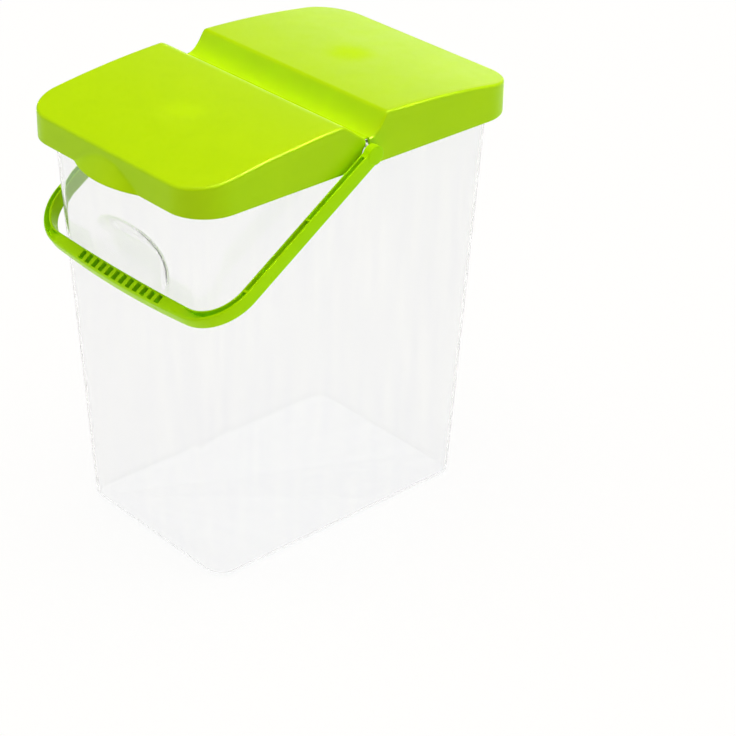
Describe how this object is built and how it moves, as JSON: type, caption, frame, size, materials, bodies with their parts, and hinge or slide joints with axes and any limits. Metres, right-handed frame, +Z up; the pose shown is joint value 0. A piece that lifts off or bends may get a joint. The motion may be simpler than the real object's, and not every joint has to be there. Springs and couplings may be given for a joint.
{
  "type": "rice bin",
  "caption": "Clear drafted rice bin with a two-part lid whose front flap lifts on a film hinge, and a swinging bail handle.",
  "frame": {"origin": "centre of the bin's flat underside, on the surface it stands on", "axes": "+Z up; -Y towards the front, where the flap's thumb tab and the resting grip are; X along the hinge line"},
  "size_m": [0.2008, 0.2787, 0.3106],
  "materials": {
    "clear_bin": "clear injection-moulded polypropylene, glossy, faintly milky",
    "lid": "lime injection-moulded polypropylene, satin gloss",
    "handle": "lime injection-moulded polypropylene, satin gloss"
  },
  "bodies": {
    "bin": {"bin": "clear_bin"},
    "lid": {"rear_cover": "lid", "film_hinge": "lid"},
    "flap": {"front_flap": "lid"},
    "handle": {"bail_handle": "handle"}
  },
  "joints": [
    {"name": "lid_lift", "type": "slide", "parent": "bin", "child": "lid", "axis": [0, 0, 1], "range_m": [0, 0.04]},
    {"name": "flap_hinge", "type": "hinge", "parent": "lid", "child": "flap", "pos_m": [0, 0, 0.296], "axis": [-1, 0, 0], "range_deg": [0, 97], "deforming": ["film_hinge"]},
    {"name": "handle_swing", "type": "hinge", "parent": "bin", "child": "handle", "pos_m": [0, 0, 0.288], "axis": [-1, 0, 0], "range_deg": [0, 246]}
  ]
}
